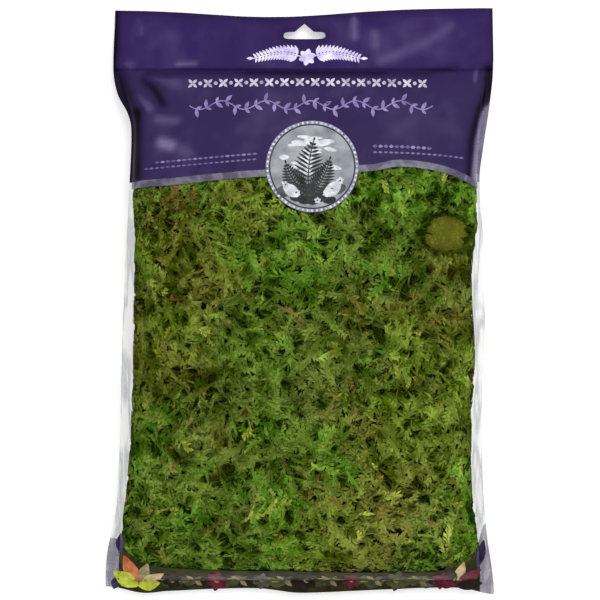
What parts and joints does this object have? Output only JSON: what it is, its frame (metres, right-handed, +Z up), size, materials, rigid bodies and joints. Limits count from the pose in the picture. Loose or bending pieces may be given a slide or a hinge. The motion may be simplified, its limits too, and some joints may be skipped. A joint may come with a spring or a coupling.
{
  "type": "bag of preserved forest moss",
  "caption": "Flat pillow bag of clear film packed with green preserved forest moss, with a purple printed header and a peg slot; lies on a shelf or hangs on a display peg.",
  "frame": {"origin": "under the middle of the bag, on the surface that the bag lies on", "axes": "+X to the label's right, +Y from the foot to the header, +Z up out of the label"},
  "size_m": [0.2981, 0.45, 0.0625],
  "materials": {
    "clear_film": "gloss",
    "printed_film": "satin",
    "moss_green": "matte",
    "moss_olive": "matte"
  },
  "bodies": {
    "root": {"front_film": "clear_film", "back_film": "clear_film", "hang_header": "printed_film", "front_mat_01": "moss_green", "front_mat_02": "moss_olive", "front_mat_03": "moss_green", "front_mat_04": "moss_green", "front_mat_05": "moss_olive", "front_mat_06": "moss_green", "front_mat_07": "moss_green", "front_mat_08": "moss_olive", "front_mat_09": "moss_green", "front_mat_10": "moss_green", "front_mat_11": "moss_olive", "front_mat_12": "moss_green", "front_mat_13": "moss_green", "front_mat_14": "moss_olive", "front_mat_15": "moss_green", "front_mat_16": "moss_green", "front_mat_17": "moss_olive", "front_mat_18": "moss_green", "back_mat_01": "moss_green", "back_mat_02": "moss_olive", "back_mat_03": "moss_green", "back_mat_04": "moss_green", "back_mat_05": "moss_olive", "back_mat_06": "moss_green", "back_mat_07": "moss_green", "back_mat_08": "moss_olive", "back_mat_09": "moss_green", "back_mat_10": "moss_green"}
  },
  "joints": []
}
